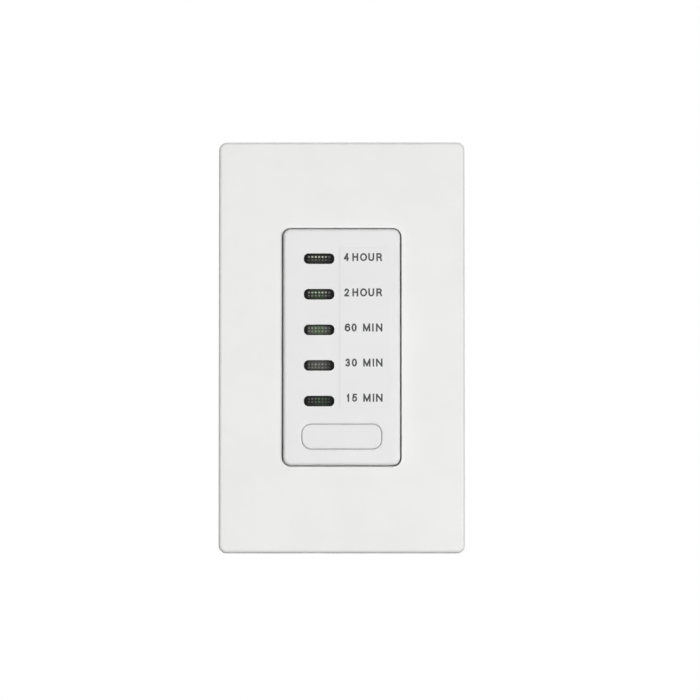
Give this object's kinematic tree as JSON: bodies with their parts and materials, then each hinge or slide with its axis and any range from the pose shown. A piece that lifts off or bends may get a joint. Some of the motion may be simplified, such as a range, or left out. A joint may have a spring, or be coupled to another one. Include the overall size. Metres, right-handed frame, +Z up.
{
  "type": "timer light switch",
  "caption": "Wall-mounted countdown timer switch with a column of period windows and one push button, under a screwless clip-on wall plate.",
  "frame": {"origin": "middle of the device on the surface of the wall, at the wall plate's back rim", "axes": "+X right and +Z up as seen from the room, +Y into the wall"},
  "size_m": [0.0694, 0.0342, 0.116],
  "materials": {
    "plate_plastic": "satin white thermoplastic",
    "face_plastic": "satin white thermoplastic",
    "button_plastic": "satin white thermoplastic",
    "label_film": "thin matt white film",
    "lens_plastic": "smoked translucent plastic",
    "baffle_plastic": "matt black plastic",
    "sub_plate_plastic": "matt white plastic",
    "strap_steel": "zinc-plated sheet steel",
    "screw_steel": "zinc-plated steel",
    "ground_green": "green-dyed zinc plating",
    "fibre": "red-brown fibre",
    "housing_plastic": "textured black thermoplastic",
    "brass": "stamped brass",
    "nickel": "nickel plating",
    "board": "green solder mask on glass-fibre laminate",
    "chip_epoxy": "moulded black epoxy",
    "chip_ceramic": "glazed ceramic",
    "led_resin": "clear resin over phosphor",
    "connector_plastic": "black nylon",
    "pin_metal": "tinned brass",
    "film_box": "yellow moulded box",
    "can_sleeve": "dark shrink sleeve",
    "surge_coating": "blue epoxy dip",
    "fuse_plastic": "brown moulded plastic",
    "resistor_coating": "beige lacquer",
    "relay_case": "blue moulded case",
    "relay_plastic": "black moulded base",
    "bobbin_plastic": "natural nylon",
    "winding_copper": "enamelled copper wire",
    "soft_iron": "nickel-plated soft iron",
    "spring_steel": "bright spring wire",
    "tact_metal": "stamped switch shell",
    "tact_plastic": "black plunger"
  },
  "bodies": {
    "device": {"wall_plate": "plate_plastic", "sub_plate": "sub_plate_plastic", "sub_plate_screws": "screw_steel", "mounting_yoke": "strap_steel", "ground_screw": "ground_green", "box_screws": "screw_steel", "screw_retainers": "fibre", "front_cover": "face_plastic", "legend_label": "label_film", "lens_4_hour": "lens_plastic", "lens_2_hour": "lens_plastic", "lens_60_min": "lens_plastic", "lens_30_min": "lens_plastic", "lens_15_min": "lens_plastic", "light_baffle": "baffle_plastic", "button_springs": "spring_steel", "tact_switch_body": "tact_metal", "control_board": "board", "board_screws": "screw_steel", "indicator_leds": "led_resin", "chip_resistors": "chip_ceramic", "timer_chip": "chip_epoxy", "header_socket": "connector_plastic", "header_block": "connector_plastic", "header_pins": "pin_metal", "power_board": "board", "film_capacitor": "film_box", "electrolytic_capacitor": "can_sleeve", "surge_absorber": "surge_coating", "bridge_rectifier": "chip_epoxy", "fuse": "fuse_plastic", "dropper_resistor": "resistor_coating", "relay_base": "relay_plastic", "relay_cover": "relay_case", "relay_frame": "soft_iron", "relay_core": "soft_iron", "relay_bobbin": "bobbin_plastic", "relay_winding": "winding_copper", "relay_fixed_contact": "brass", "relay_pins": "pin_metal", "line_terminal": "brass", "load_terminal": "brass", "neutral_terminal": "brass", "terminal_clamps": "nickel", "hot_terminal_screws": "brass", "neutral_terminal_screw": "nickel", "rear_housing": "housing_plastic", "housing_screws": "screw_steel"},
    "button": {"start_button": "button_plastic"},
    "plunger": {"tact_switch_plunger": "tact_plastic"},
    "armature": {"relay_armature": "soft_iron", "relay_moving_contact": "brass"}
  },
  "joints": [
    {"name": "button_press", "type": "slide", "parent": "device", "child": "button", "axis": [0, 1, 0], "range_m": [0, 0.0005], "stiffness_N_per_m": 1200, "springref_m": -0.0005, "deforming": ["button_springs"]},
    {"name": "plunger_press", "type": "slide", "parent": "device", "child": "plunger", "axis": [0, 1, 0], "range_m": [0, 0.0005]},
    {"name": "armature_pull_in", "type": "hinge", "parent": "device", "child": "armature", "pos_m": [0, 0.0175, -0.018], "axis": [1, 0, 0], "range_deg": [0, 2.96], "stiffness_Nm_per_rad": 0.02, "springref_deg": -5.73}
  ],
  "couplings": [
    {"joint": "plunger_press", "follows": "button_press", "ratio": 1}
  ]
}
